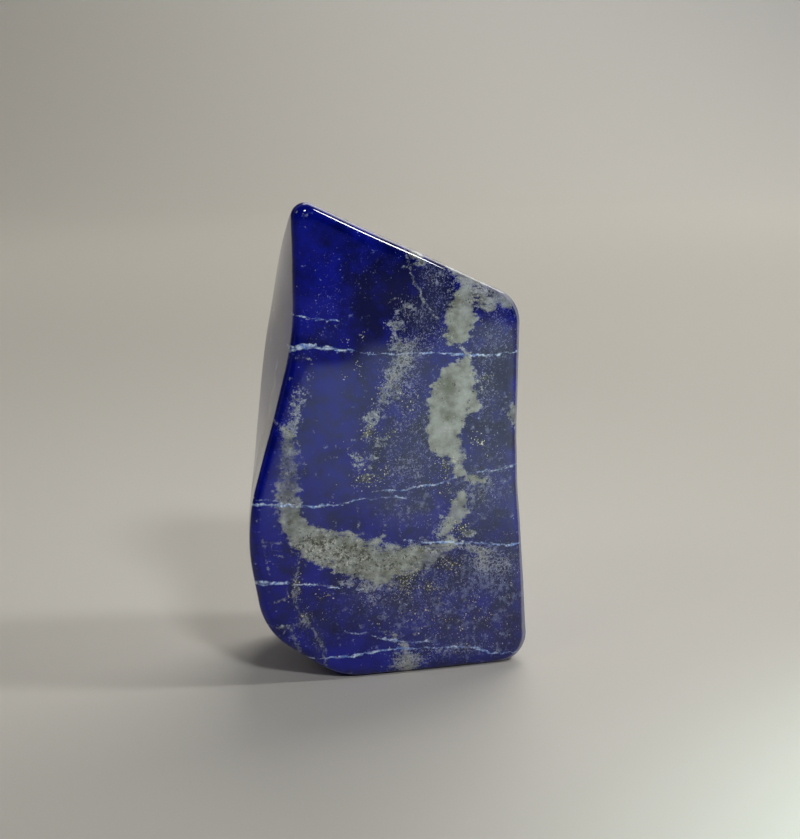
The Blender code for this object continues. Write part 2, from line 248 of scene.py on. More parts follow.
CLOUDS = {
    "haze": (  # where calcite clouds the blue
        (2.6, 86.4, 2.6, 2.2, 0.9), (0.2, 82.4, 2.2, 1.6, 1.5), (1.6, 78, 3, 2.4, 1.0),
        (2.8, 74.3, 2.8, 2.2, 0.9), (7.2, 84.6, 2.4, 2.4, 0.3), (6.4, 78.6, 2.4, 1.8, 0.4),
        (9, 92.6, 2.4, 2.6, 0.3), (-0.2, 71.4, 2.4, 2.4, 0.8), (-1.4, 67.6, 2.6, 2.8, 0.85),
        (3, 67.6, 3, 2.8, 0.45), (-3.2, 64.6, 1.8, 2, 0.7), (-5.6, 61.4, 2.4, 2, 1.1),
        (-6.6, 57.9, 1.8, 2, 0.8), (-3.2, 55.6, 2.4, 1.8, 0.75), (1, 60, 4, 4, 0.4),
        (-9.4, 52.4, 1.5, 2.8, 0.8), (-6, 51.8, 2.4, 2.4, 0.7), (-6.6, 47.8, 2.8, 2, 0.55),
        (0, 49, 4, 3, 0.4), (-19.7, 73, 1.8, 3, 0.6), (-21.6, 68, 2.2, 3, 0.85), (-23.2, 63, 2.2, 3, 0.85),
        (-24.5, 59, 1.6, 2.5, 0.8), (18.4, 32.6, 2.4, 0.9, 1.7), (13, 31, 1.6, 0.7, 1.5),
        (16, 30, 1.8, 0.8, 1.6), (19, 29.2, 1.8, 0.8, 1.6), (22, 28.2, 1.8, 0.9, 1.4),
        (21.5, 25.6, 2, 2.4, 0.9), (17.5, 27, 3, 1, 0.7), (27, 24.5, 4, 3.4, 0.7), (-12, 23.4, 3, 1.2, 0.8),
        (-6.6, 21.6, 3, 1.6, 1.0), (-5, 18.4, 1.2, 1.2, 0.7), (3, 20.6, 1.6, 1.2, 0.6),
        (8.4, 15.8, 1.6, 1, 0.7), (12, 36, 2.4, 3, 0.7), (10, 33.5, 3, 1.4, 0.6), (-3, 31.5, 3, 1.4, 0.7),
        (6, 47.5, 1, 1, 0.6), (20, 42, 5, 2.4, 0.4), (28, 87.5, 2.5, 1.6, 0.9), (14, 93, 3, 3, 0.5),
        (3.1, 2.5, 5, 2.6, 1.0), (-23.2, 22.5, 1.3, 4, 0.5), (-24, 12, 2.4, 2.6, 0.5), (14, 4.6, 6, 1, 0.6),
    ),
    "specks": (  # where fine specks crowd
        (9, 93.5, 3.5, 4, 0.7), (12, 87, 4, 4, 0.45), (6, 85, 4, 4, 0.6), (25, 81, 5, 7, 0.6),
        (9, 79, 5, 4, 0.6), (-8, 90, 9, 8, 0.1), (-16, 95, 4, 9, 0.1), (2, 72, 6, 6, 0.75),
        (5, 60, 6, 8, 0.5), (22, 66, 6, 7, 0.6), (24, 53, 6, 9, 0.45), (24, 76, 7, 5, 0.3),
        (4, 50, 8, 6, 0.6), (22, 40, 10, 7, 0.5), (2, 39, 8, 5, 0.5), (14, 38, 3, 3, -0.4),
        (14, 22, 16, 7, 0.45), (2, 17, 16, 6, 0.35), (14, 8, 16, 6, 0.35), (24, 25, 6, 5, 0.6),
        (-17, 80, 5, 3, 0.3), (-22, 76.2, 3, 1.2, 0.5), (-20, 14, 5, 7, 0.2), (-24, 62, 3, 8, 0.3),
        (16, 96, 3, 2, 0.5), (-17, 60, 6, 16, -0.3), (-23.6, 23, 1.1, 5, 0.8), (-21.4, 15.4, 1.4, 1.6, 0.9),
        (-18, 9, 1.2, 4, 0.5), (-8, 20, 8, 5, 0.25), (28, 14, 6, 10, 0.25), (-6, 96, 10, 7, 0.2),
        (-17, 88, 5, 5, 0.3), (3.1, 3, 4, 3, 0.6), (18, 4, 9, 3, 0.4),
    ),
    "pyrite": (  # where pyrite grains gather
        (-7.4, 80.1, 1.1, 1, 1.0), (-10.7, 78.6, 0.9, 0.7, 0.7), (-8.8, 73.1, 1.4, 1.2, 0.8),
        (-12, 71.2, 1, 0.6, 0.7), (-3.5, 67.1, 0.7, 1.5, 0.8), (-6.3, 58, 1.8, 1.9, 1.0),
        (-0.5, 57.5, 1.2, 1, 0.7), (-11.1, 55.1, 0.9, 0.9, 0.8), (-8, 53, 0.9, 0.9, 0.7),
        (-7.3, 47.3, 3, 2, 1.0), (-2.5, 48.5, 1, 1.4, 0.6), (11.7, 49.5, 0.9, 2.2, 0.9),
        (9, 44.4, 1.2, 1.2, 0.7), (20.3, 54.3, 1.6, 1.8, 0.8), (22.5, 69.3, 1.8, 1.4, 0.8),
        (16.4, 34.2, 1.5, 1.9, 1.0), (27.5, 31.4, 1.4, 0.9, 0.9), (1.8, 22.4, 2, 2.4, 1.1),
        (8.9, 20.6, 2.2, 1.2, 1.1), (13.6, 25.4, 2.6, 1.7, 1.0), (19.6, 16.5, 0.9, 0.7, 0.7),
        (28.8, 15.8, 0.7, 0.7, 0.7), (-17.5, 20.2, 1.8, 0.9, 0.8), (-21.1, 15.6, 1, 1, 0.8),
        (-16.4, 15.2, 0.8, 0.8, 0.7), (-24.1, 21.3, 1.2, 1.2, 0.6), (0.4, 9.4, 0.9, 0.6, 0.8),
        (23.7, 12.6, 1.6, 1.2, 0.6), (21.1, 82.7, 0.9, 0.7, 0.8), (-14.9, 42.5, 0.9, 0.6, 1.0),
        (-18, 28, 2, 1, 0.5), (4, 24.5, 3, 2, 0.6), (-5.8, 63.5, 2, 2, 0.25), (3, 65, 4, 4, 0.2),
        (12, 13, 14, 6, 0.15), (-23.4, 24.2, 1, 2.4, 0.6), (13.2, 46, 1.6, 5, 0.5),
    ),
    "light_blue": (  # where the blue is clearest, or darkest below 0
        (-16, 92, 4, 6, 0.8), (-20, 99, 4, 6, 0.5), (-21, 84, 3, 5, 0.5), (-26, 62, 3, 10, 0.5),
        (-30, 42, 2, 10, 0.6), (-24, 18, 8, 6, 0.1), (-6, 4, 14, 3, 0.7), (20, 5, 10, 3, 0.2),
        (28, 16, 6, 12, -0.4), (-4, 94, 7, 7, -1.1), (8, 90, 6, 6, -0.8), (12, 97, 4, 3, -0.8),
        (-12, 24, 6, 3, -0.3), (3, 17, 8, 3, -0.3), (24, 50, 8, 30, -0.2), (-4, 84, 7, 3, -0.6),
    ),
    "pale": (  # where calcite is paler, or greener below 0
        (17, 90, 2, 2, 0.6), (22, 87, 3, 3, 0.7), (16.8, 84, 1.5, 3, 0.4), (16.5, 64, 2.5, 3, 0.9),
        (12.5, 57, 3, 2, 0.7), (14.5, 51, 2, 3, 0.8), (13.5, 66, 2, 3, -0.6), (-25, 50, 2, 8, -0.6),
        (-19, 31.5, 4, 1.6, 0.4), (-15, 32.5, 6, 2.5, -0.2), (-9, 30.5, 3, 2, -0.4), (-2, 26, 4, 2, -0.5),
        (16, 38, 2, 2, 0.6), (3, 4, 3, 4, 0.9),
    ),
    "grainy": (  # where calcite has a feathered border and dark grains
        (-18, 32, 8, 4, 1.4), (-8, 29, 5, 4, 1.0), (1, 27, 5, 4, 0.8), (15, 50, 3, 4, 0.7),
        (22, 89, 6, 4, 1.2), (-25, 50, 3, 9, 1.0), (13, 62, 2, 3, 0.5), (10, 29, 5, 3, 1.0),
        (5.5, 97, 2, 2, 0.8), (3, 4, 3, 5, 0.8), (14, 35, 3, 3, 0.6),
    ),
    "thin": (  # where the blue shows through calcite
        (-25, 51, 4, 12, 0.8), (-2, 31, 3, 2, 0.3), (25, 89, 6, 4, 0.9), (16, 95, 3, 3, 0.6),
        (12, 30, 3, 2, 0.4), (29.5, 60.5, 2, 3, 0.6), (3, 4, 3, 5, 0.9), (5.5, 97, 2, 2, 0.5),
        (15, 38, 3, 5, 0.35), (10, 27.5, 4, 2, 0.6),
    ),
    "mottled": (  # where the blue is lumpy
        (12, 13, 18, 10, 1.0), (28, 13, 8, 12, 0.4), (24, 26, 8, 8, 0.6), (22, 44, 8, 8, 0.7),
        (4, 40, 10, 6, 0.6), (22, 64, 6, 9, 0.1), (-5, 22, 5, 3, 0.7), (-26, 18, 5, 9, -0.6),
        (-16, 95, 8, 10, -0.5), (-2, 92, 6, 6, -0.8),
    ),
}
"""Soft patches on the front face: x, z, reach in x, reach in z and strength."""


def linear(hex_colour):
    """An sRGB hex colour as linear red, green, blue and alpha."""
    parts = [int(hex_colour[i:i + 2], 16) / 255.0 for i in (1, 3, 5)]
    return [p / 12.92 if p <= 0.04045 else ((p + 0.055) / 1.055) ** 2.4 for p in parts] + [1.0]


def add(tree, kind, inputs=None, output=0, **settings):
    """Adds one node with its settings, input values and links, and returns one of its outputs."""
    node = tree.nodes.new(kind)
    for name, value in settings.items():
        setattr(node, name, value)
    for key, value in (inputs or {}).items():
        if isinstance(value, bpy.types.NodeSocket):
            tree.links.new(value, node.inputs[key])
        else:
            node.inputs[key].default_value = value
    return node.outputs[output]


def conic(start, corner, end, weight, t):
    """Points at t on a conic arc: (a start + b corner + c end) / (a + b + c).

    Here a = (1 - t)^2, b = 2 weight t (1 - t) and c = t^2.
    """
    a = (1.0 - t) ** 2
    b = 2.0 * weight * t * (1.0 - t)
    c = t ** 2
    return (start * a + corner * b + end * c) / (a + b + c)


def inset_corners(corners, insets):
    """The corners moved inwards, so that edge i lies insets[i] further in.

    A jutting corner's radius shrinks by the smaller of the two insets beside it, so that its arc stays
    parallel, and a hollow corner's radius grows by the inset.
    """
    points, radii = corners[:, :2], corners[:, 2]
    before_inset = np.roll(insets, 1)
    into = points - np.roll(points, 1, axis=0)
    into /= np.linalg.norm(into, axis=1)[:, None]
    out_of = np.roll(into, -1, axis=0)
    normal_in = np.stack([into[:, 1], -into[:, 0]], axis=1)
    normal_out = np.stack([out_of[:, 1], -out_of[:, 0]], axis=1)
    turn = normal_in[:, 0] * normal_out[:, 1] - normal_in[:, 1] * normal_out[:, 0]
    gap = normal_out * insets[:, None] - normal_in * before_inset[:, None]
    along = (gap * normal_out).sum(axis=1) / (into * normal_out).sum(axis=1)
    mitred = points + normal_in * before_inset[:, None] + into * along[:, None]
    straight = points + (normal_in + normal_out) * ((before_inset + insets) / 4.0)[:, None]
    moved = np.where(np.abs(turn)[:, None] < NEARLY_STRAIGHT, straight, mitred)
    new_radii = np.where(turn < 0.0, radii - np.minimum(before_inset, insets), radii + insets)
    return np.column_stack([moved, np.maximum(new_radii, SMALLEST_RADIUS)])


def rounded_outline(corners, arc_steps, edge_steps):
    """Points around a polygon with conic arcs for corners, in so many chords for each arc and each edge.

    With h half of a corner's angle, its arc starts and ends radius / tan h away from it, with weight sin h.
    """
    points = corners[:, :2]
    to_before = np.roll(points, 1, axis=0) - points
    to_after = np.roll(points, -1, axis=0) - points
    to_before /= np.linalg.norm(to_before, axis=1)[:, None]
    to_after /= np.linalg.norm(to_after, axis=1)[:, None]
    half_angle = np.arccos(np.clip((to_before * to_after).sum(axis=1), -1.0, 1.0)) / 2.0
    tangent = (corners[:, 2] / np.tan(half_angle))[:, None]
    starts, ends = points + to_before * tangent, points + to_after * tangent
    pieces = []
    for i, (start, corner, end) in enumerate(zip(starts, points, ends)):
        t = np.linspace(0.0, 1.0, arc_steps[i] + 1)[:, None]
        pieces.append(conic(start, corner, end, math.sin(half_angle[i]), t))
        t = np.linspace(0.0, 1.0, edge_steps[i] + 1)[1:-1, None]
        pieces.append(end + (starts[(i + 1) % len(starts)] - end) * t)
    return np.concatenate(pieces)


def chords(corners, spacing):
    """Chords for each arc and edge of an outline, from their lengths and the spacing wanted.

    An arc is radius times turn long, and takes radius tan(turn / 2) off each edge beside it.
    """
    points = corners[:, :2]
    lengths = np.linalg.norm(np.roll(points, -1, axis=0) - points, axis=1)
    into = points - np.roll(points, 1, axis=0)
    out_of = np.roll(points, -1, axis=0) - points
    crossing = into[:, 0] * out_of[:, 1] - into[:, 1] * out_of[:, 0]
    turn = np.abs(np.arctan2(crossing, (into * out_of).sum(axis=1)))
    arcs = corners[:, 2] * turn
    tangents = corners[:, 2] * np.tan(turn / 2.0)
    straights = lengths - tangents - np.roll(tangents, -1)
    arc_steps = np.maximum(arcs / spacing, ARC_CHORDS).astype(int)
    edge_steps = np.maximum(straights / spacing, EDGE_CHORDS).astype(int)
    return arc_steps, edge_steps


def polish_waves(points):
    """Height of the lapping waves at points: a sum of sines of WAVE_LENGTHS, each in its own direction.

    A wave is as high as it is long, in shares of the longest.
    """
    height = np.zeros(len(points))
    for i, length in enumerate(WAVE_LENGTHS):
        angle = 0.9 + 2.4 * i
        direction = np.array([math.cos(angle), 0.35 * math.sin(3.1 * angle), math.sin(angle)])
        height += length / WAVE_LENGTHS[0] * np.sin(points @ direction * (2.0 * math.pi / length) + 1.7 * i)
    return height


def stone_surface(spacing, waves):
    """The stone's skin as rings of points and its two face middles, in millimetres.

    A point is P(u, v). u runs round the outline; v runs from the front face's middle to the back face's.
    On a face P is the inset outline scaled towards the middle, on a rim it is a conic arc, and on a side
    it is the straight line between the outlines. Then x and z swell by SIDE_BULGE 4 b (1 - b), b being the
    depth's share, the right edge is drawn in by RIGHT_ROLL (1 - y / RIGHT_ROLL_DEPTH)^2, and each face
    drops by a paraboloid, the front face also by LEFT_ROLL s^2 with s rising to 1 at its left border.
    The lapping waves lie over all of it, along the normals.
    """
    front_corners = np.array(list(FRONT_CORNERS.values()), float)
    back_corners = np.array(list(BACK_CORNERS.values()), float)
    arc_steps, edge_steps = chords(front_corners, spacing)

    def ring(corners, depth):
        flat = rounded_outline(corners, arc_steps, edge_steps)
        return np.column_stack([flat[:, 0], np.full(len(flat), depth), flat[:, 1]])

    front = ring(front_corners, 0.0)
    back = ring(back_corners, DEPTH)
    front_face = ring(inset_corners(front_corners, np.array(FRONT_RIM)), 0.0)
    back_face = ring(inset_corners(back_corners, np.full(len(back_corners), BACK_RIM)), DEPTH)
    front_cut = np.linalg.norm(front - front_face, axis=1)[:, None] / DEPTH
    back_cut = np.linalg.norm(back - back_face, axis=1)[:, None] / DEPTH
    front_side = front + (back - front) * front_cut
    back_side = back + (front - back) * back_cut

    hub_front = np.array([FACE_CENTRE[0], 0.0, FACE_CENTRE[1]])
    hub_back = np.array([FACE_CENTRE[0], DEPTH, FACE_CENTRE[1]])
    face_steps = int(FACE_HALF[0] / spacing)
    rim_steps = ARC_CHORDS
    side_steps = int(0.6 * DEPTH / spacing)
    quarter = math.sqrt(0.5)
    inward = np.linspace(1.0, 0.0, face_steps, endpoint=False)[:, None, None]
    t = np.linspace(0.0, 1.0, rim_steps + 1)[1:, None, None]
    side_t = np.linspace(0.0, 1.0, side_steps + 1)[1:, None, None]
    side_t = (side_t + side_t ** 2) / 2.0
    rings = np.concatenate([
        (hub_front + (front_face - hub_front) * inward)[::-1],
        conic(front_face, front, front_side, quarter, t),
        front_side + (back_side - front_side) * side_t,
        conic(back_side, back, back_face, quarter, t),
        (hub_back + (back_face - hub_back) * inward)[1:],
    ])
    count = rings.shape[1]
    points = np.concatenate([rings.reshape(-1, 3), [hub_front, hub_back]])
    normals = grid_normals(points[:-2].reshape(rings.shape)).reshape(-1, 3)
    normals = np.concatenate([normals, [[0.0, -1.0, 0.0], [0.0, 1.0, 0.0]]])

    x, y, z = points.T
    back_share = np.clip(y / DEPTH, 0.0, 1.0)
    swell = SIDE_BULGE * 4.0 * back_share * (1.0 - back_share) * np.clip(z / SIDE_BULGE_HEIGHT, 0.0, 1.0)
    across = (x - FACE_CENTRE[0]) / FACE_HALF[0]
    upward = (z - FACE_CENTRE[1]) / FACE_HALF[1]
    front_drop = FRONT_DOME[0] * across ** 2 + FRONT_DOME[1] * upward ** 2
    back_drop = BACK_DOME[0] * across ** 2 + BACK_DOME[1] * upward ** 2
    rolled = np.clip((x - RIGHT_ROLL_FROM) / (RIGHT_ROLL_TO - RIGHT_ROLL_FROM), 0.0, 1.0)
    in_front = np.clip(1.0 - y / RIGHT_ROLL_DEPTH, 0.0, 1.0)
    border_height, border_x = np.transpose(LEFT_BORDER)
    near_border = np.clip(1.0 - (x - np.interp(z, border_height, border_x)) / LEFT_ROLL_WIDTH, 0.0, 1.0)
    front_drop += LEFT_ROLL * near_border ** 2
    shaped = np.column_stack([
        x + swell * across - RIGHT_ROLL * rolled ** 2 * in_front ** 2,
        y + front_drop * (1.0 - back_share) - back_drop * back_share,
        z + swell * upward * (z > FACE_CENTRE[1]),
    ])
    above_base = np.clip(z / FLAT_BELOW, 0.0, 1.0) ** 2
    shaped += normals * (waves * polish_waves(shaped) * above_base)[:, None]
    return shaped, rings.shape[0], count


def grid_normals(rings):
    """Outward unit normals of a closed grid of rings, as the cross product of its two central differences."""
    along = np.roll(rings, -1, axis=1) - np.roll(rings, 1, axis=1)
    over = np.gradient(rings, axis=0)
    normals = np.cross(along, over)
    return normals / np.maximum(np.linalg.norm(normals, axis=2, keepdims=True), 1e-9)


def closed_mesh(name, points, ring_count, count):
    """A closed mesh: quads between the rings, and a fan of triangles onto each of the last two points."""
    ring_start = np.arange(ring_count - 1)[:, None] * count
    here = np.arange(count)[None, :]
    beside = (here + 1) % count
    quads = np.stack([
        ring_start + here, ring_start + beside, ring_start + count + beside, ring_start + count + here,
    ], axis=2).reshape(-1, 4)
    last = (ring_count - 1) * count
    hub = len(points) - 2
    here, beside = here[0], beside[0]
    fans = np.concatenate([
        np.column_stack([np.full(count, hub), beside, here]),
        np.column_stack([np.full(count, hub + 1), last + here, last + beside]),
    ])
    mesh = bpy.data.meshes.new(name)
    mesh.from_pydata((points * MM).tolist(), [], quads.tolist() + fans.tolist())
    mesh.validate()
    return mesh


def segments(places, strokes):
    """Distance of every place to each segment of the strokes, its side, and the half width beside it.

    For a segment a to b and place p, t is the clipped share (p-a).(b-a)/|b-a|^2, the distance is
    |p - a - t(b-a)|, the side is the cross product's sign, and the half width runs linearly from a's to b's.
    """
    for stroke in strokes.values():
        stroke = np.array(stroke, float)
        for start, end in zip(stroke[:-1], stroke[1:]):
            run = end[:2] - start[:2]
            offset = places - start[:2]
            t = np.clip(offset @ run / (run @ run), 0.0, 1.0)
            distance = np.linalg.norm(offset - t[:, None] * run, axis=1)
            side = np.sign(run[0] * offset[:, 1] - run[1] * offset[:, 0])
            yield distance, side, start[2] + (end[2] - start[2]) * t


def along_strokes(places, strokes):
    """Signed distance of each place to the nearest of many strokes, and the stroke's half width there."""
    best = np.full(len(places), FAR)
    signed = np.full(len(places), FAR)
    width = np.zeros(len(places))
    for distance, side, half_width in segments(places, strokes):
        near = distance < best
        best = np.where(near, distance, best)
        signed = np.where(near, distance * side, signed)
        width = np.where(near, half_width, width)
    return signed, width


def mass_of_strokes(places, strokes):
    """How deep each place lies inside the strokes, in millimetres: the most of half width - distance."""
    depth = np.full(len(places), -FAR)
    for distance, _, half_width in segments(places, strokes):
        depth = np.maximum(depth, half_width - distance)
    return np.clip(depth, -6.0, 6.0)


def cloud(places, patches):
    """Sum of soft patches s exp(-(dx/rx)^2 - (dz/rz)^2)."""
    total = np.zeros(len(places))
    for x, z, reach_x, reach_z, strength in patches:
        across = (places[:, 0] - x) / reach_x
        upward = (places[:, 1] - z) / reach_z
        total += strength * np.exp(-across ** 2 - upward ** 2)
    return total


def seen_on_front(points):
    """Where on the front face's drawing each point of the stone lies.

    The drawing leans with depth, and it bends by sines of height and width that grow with depth.
    """
    x, y, z = points.T
    depth = y - STONE_LOW.y / MM
    bend = np.clip(depth / DEPTH, 0.0, 1.0)
    lean_x = LEAN_X * depth + SWAY * bend * np.sin(z / 11.0 + 0.6)
    lean_z = LEAN_Z * depth + SWAY * bend * np.sin(x / 10.0 + depth / 14.0)
    return np.column_stack([x + DRAWING_SHIFT + lean_x * bend, z + lean_z * bend])


def mark_stone(mesh, points):
    """Writes the strokes and clouds to the mesh as point attributes that the stone's material reads.

    The satin side, the painted reflection on the right edge and the veins that fade round the left side have
    straight ramps from 0 to 1 for borders, a few millimetres wide.
    """
    places = seen_on_front(points)
    in_depth = points[:, 1] - STONE_LOW.y / MM
    on_left = np.clip((SATIN_SIDE - points[:, 0]) / 8.0, 0.0, 1.0)
    on_right = np.clip((points[:, 0] - EDGE_SIDE) / 4.0, 0.0, 1.0)
    fading = 1.0 - on_left * np.clip((in_depth - 3.0) / 4.0, 0.0, 1.0)
    marks = {"calcite": mass_of_strokes(places, CALCITE)}
    for name, patches in CLOUDS.items():
        marks[name] = cloud(places, patches)
    for name, strokes in VEINS.items():
        offset, width = along_strokes(places, strokes)
        marks["vein_" + name] = np.clip(offset, -3.0, 3.0)
        marks["width_" + name] = np.where(np.abs(offset) > VEIN_REACH, 0.0, width * fading)
    marks["satin"] = on_left * np.clip((in_depth - SATIN_DEPTH) / 0.8, 0.0, 1.0)
    # where the painted reflection lies on the right rim, between EDGE_FROM and EDGE_TO deep
    between = np.minimum((in_depth - EDGE_FROM) / 0.5, (EDGE_TO - in_depth) / 3.4)
    marks["edge"] = on_right * np.clip(between, 0.0, 1.0)
    for name, values in marks.items():
        attribute = mesh.attributes.new(name, "FLOAT", "POINT")
        attribute.data.foreach_set("value", values.astype(np.float32))


def mask(tree, low, high, terms, top=1.0):
    """How much of a mineral shows: 0 to top, as the patterns' weighted sum goes smoothly from low to high."""
    total = 0.0
    for weight, pattern in terms:
        total = add(tree, "ShaderNodeMath", {0: pattern, 1: weight, 2: total}, operation="MULTIPLY_ADD")
    inputs = {0: total, 1: low, 2: high, 3: 0.0, 4: top}
    return add(tree, "ShaderNodeMapRange", inputs, interpolation_type="SMOOTHSTEP")


def lay(tree, under, over, share):
    """One colour or number laid over another by a share."""
    if isinstance(under, list) or under.type == "RGBA":
        return add(tree, "ShaderNodeMix", {0: share, 6: under, 7: over}, output=2, data_type="RGBA")
    return add(tree, "ShaderNodeMix", {0: share, 2: under, 3: over})


def lapis_material(colours):
    """Lapis lazuli, lapped and polished: blue lazurite rock with grey-green calcite, white veins and pyrite.

    The polish gives a glassy skin whose reflections stay sharp over the blue, soften over the calcite and
    glint on the metal grains. Patterns are in millimetres. The real specks are mostly 0.05 to 0.2 mm wide,
    too fine to show, and are drawn 0.1 to 0.4 mm wide.
    """
    material = bpy.data.materials.new("lapis_lazuli_lapped_and_polished")
    material.use_nodes = True
    tree = material.node_tree
    tree.nodes.clear()
    place = add(tree, "ShaderNodeTexCoord", output="Object")
    place = add(tree, "ShaderNodeVectorMath", {0: place, "Scale": 1.0 / MM}, operation="SCALE")
    mark = {
        name: add(tree, "ShaderNodeAttribute", output="Fac", attribute_name=name)
        for name in ("calcite", *CLOUDS, "edge", "satin")
    }

    def noise(grain, detail, roughness, shift, where=place):
        """Cloudy pattern with lumps of about one grain, moved so that no two patterns agree."""
        away = (shift, 2.0 * shift, -shift)
        moved = add(tree, "ShaderNodeVectorMath", {0: where, 1: away}, operation="ADD")
        inputs = {"Vector": moved, "Scale": 1.0 / grain, "Detail": detail, "Roughness": roughness}
        return add(tree, "ShaderNodeTexNoise", inputs, output="Fac")

    # lumps of colour are 2 to 10 mm, grains 0.5 to 1.2 mm
    broad = noise(10.0, 3.0, 0.55, 11.0)
    patchy = noise(3.6, 4.0, 0.6, 17.0)
    middling = noise(1.9, 3.0, 0.6, 23.0)
    fine = noise(1.15, 3.0, 0.7, 37.0)
    grit = noise(0.85, 2.0, 0.8, 51.0)
    dust = noise(0.58, 3.0, 0.9, 67.0)
    # calcite grew in slanting feathers, and the level veins in fibres
    slanted = add(tree, "ShaderNodeMapping", {
        "Vector": place, "Rotation": (0.0, math.radians(34.0), 0.0), "Scale": (0.33, 1.0, 1.0),
    })
    feather = noise(1.3, 3.0, 0.65, 43.0, slanted)
    drawn_out = add(tree, "ShaderNodeMapping", {"Vector": place, "Scale": (0.16, 0.5, 1.0)})
    fibre = noise(0.62, 2.0, 0.6, 83.0, drawn_out)
    warp = add(tree, "ShaderNodeTexNoise", {"Vector": place, "Scale": 2.6, "Detail": 1.0}, output="Color")
    bent = add(tree, "ShaderNodeVectorMath", {
        0: warp, 1: (0.6, 0.6, 0.6), 2: place,
    }, operation="MULTIPLY_ADD")

    def grains(cell, smallest, largest, crowding):
        """Grains of smallest to largest radius in a jittered lattice, as many of them as crowding says."""
        cells = add(tree, "ShaderNodeTexVoronoi", {"Vector": bent, "Scale": 1.0 / cell}, output="Distance")
        chance = add(tree, "ShaderNodeSeparateColor", {0: cells.node.outputs["Color"]}, output="Red")
        present = add(tree, "ShaderNodeMath", {0: crowding, 1: chance}, operation="GREATER_THAN")
        radius = add(tree, "ShaderNodeMapRange", {
            0: chance.node.outputs["Green"], 1: 0.0, 2: 1.0, 3: smallest / cell, 4: largest / cell,
        })
        spot = mask(tree, 0.0, 0.06, [(1.0, radius), (-1.0, cells)])
        return add(tree, "ShaderNodeMath", {0: spot, 1: present}, operation="MULTIPLY")

    # lazurite, from deep to clear blue
    bright = mask(tree, 0.72, 1.40, [
        (0.9, broad), (0.9, patchy), (0.35, fine), (0.30, mark["light_blue"]), (-0.20, mark["specks"]),
    ])
    colour = lay(tree, linear(colours.deep_blue_hex), linear(colours.bright_blue_hex), bright)

    # the blue clouded with white: wash, lumps and haze, with dark grains between
    near_calcite = mask(tree, -3.2, 0.6, [(1.0, mark["calcite"])])
    wash = mask(tree, 0.2, 1.5, [(0.6, patchy), (1.0, mark["specks"]), (0.6, mark["mottled"])], 0.22)
    colour = lay(tree, colour, linear(colours.wash_hex), wash)
    lumps = mask(tree, 0.98, 1.16, [
        (0.7, middling), (0.7, fine), (0.3, feather), (0.10, mark["specks"]), (0.06, near_calcite),
        (0.10, mark["mottled"]),
    ], 0.55)
    colour = lay(tree, colour, linear(colours.mottle_hex), lumps)
    haze = mask(tree, 1.42, 1.60, [
        (0.7, middling), (0.6, fine), (0.6, feather), (0.5, grit), (0.38, mark["haze"]), (0.12, near_calcite),
    ], 0.86)
    haze_grain = mask(tree, 0.38, 0.62, [(1.0, grit)])
    haze_colour = lay(tree, linear(colours.haze_shade_hex), linear(colours.haze_hex), haze_grain)
    colour = lay(tree, colour, haze_colour, haze)
    gloom = mask(tree, 0.90, 1.02, [
        (1.0, grit), (0.4, fine), (0.22, mark["pyrite"]), (0.14, mark["haze"]), (0.17, mark["specks"]),
        (0.07, near_calcite),
    ], 0.8)
    shadow = lay(tree, linear(colours.night_hex), linear(colours.tarnish_hex), mark["pyrite"])
    colour = lay(tree, colour, shadow, gloom)

    # specks: two sizes of grains, and curls where the fine pattern crosses its middle
    crowd = mask(tree, 0.55, 1.95, [
        (1.0, patchy), (1.0, mark["specks"]), (0.7, mark["haze"]), (0.3, near_calcite), (0.3, mark["pyrite"]),
    ], 0.85)
    thinned = add(tree, "ShaderNodeMath", {0: crowd, 1: 0.35}, operation="MULTIPLY")
    specks = add(tree, "ShaderNodeMath", {
        0: grains(0.38, 0.05, 0.13, crowd), 1: grains(0.85, 0.09, 0.19, thinned),
    }, operation="MAXIMUM")
    specks = add(tree, "ShaderNodeMath", {0: specks, 1: 1.2}, operation="MULTIPLY")
    ridge = add(tree, "ShaderNodeMath", {0: fine, 1: 0.5}, operation="SUBTRACT")
    ridge = add(tree, "ShaderNodeMath", {0: ridge}, operation="ABSOLUTE")
    curls = mask(tree, 0.215, 0.260, [
        (-1.0, ridge), (0.35, dust), (0.09, mark["specks"]), (0.05, mark["haze"]), (0.02, near_calcite),
    ], 0.7)
    specks = add(tree, "ShaderNodeMath", {0: specks, 1: curls}, operation="MAXIMUM")
    specks = add(tree, "ShaderNodeMath", {0: specks, 1: 0.8}, operation="MULTIPLY")
    speck_colour = lay(tree, linear(colours.speck_hex), linear(colours.cream_hex), mark["haze"])
    colour = lay(tree, colour, speck_colour, specks)

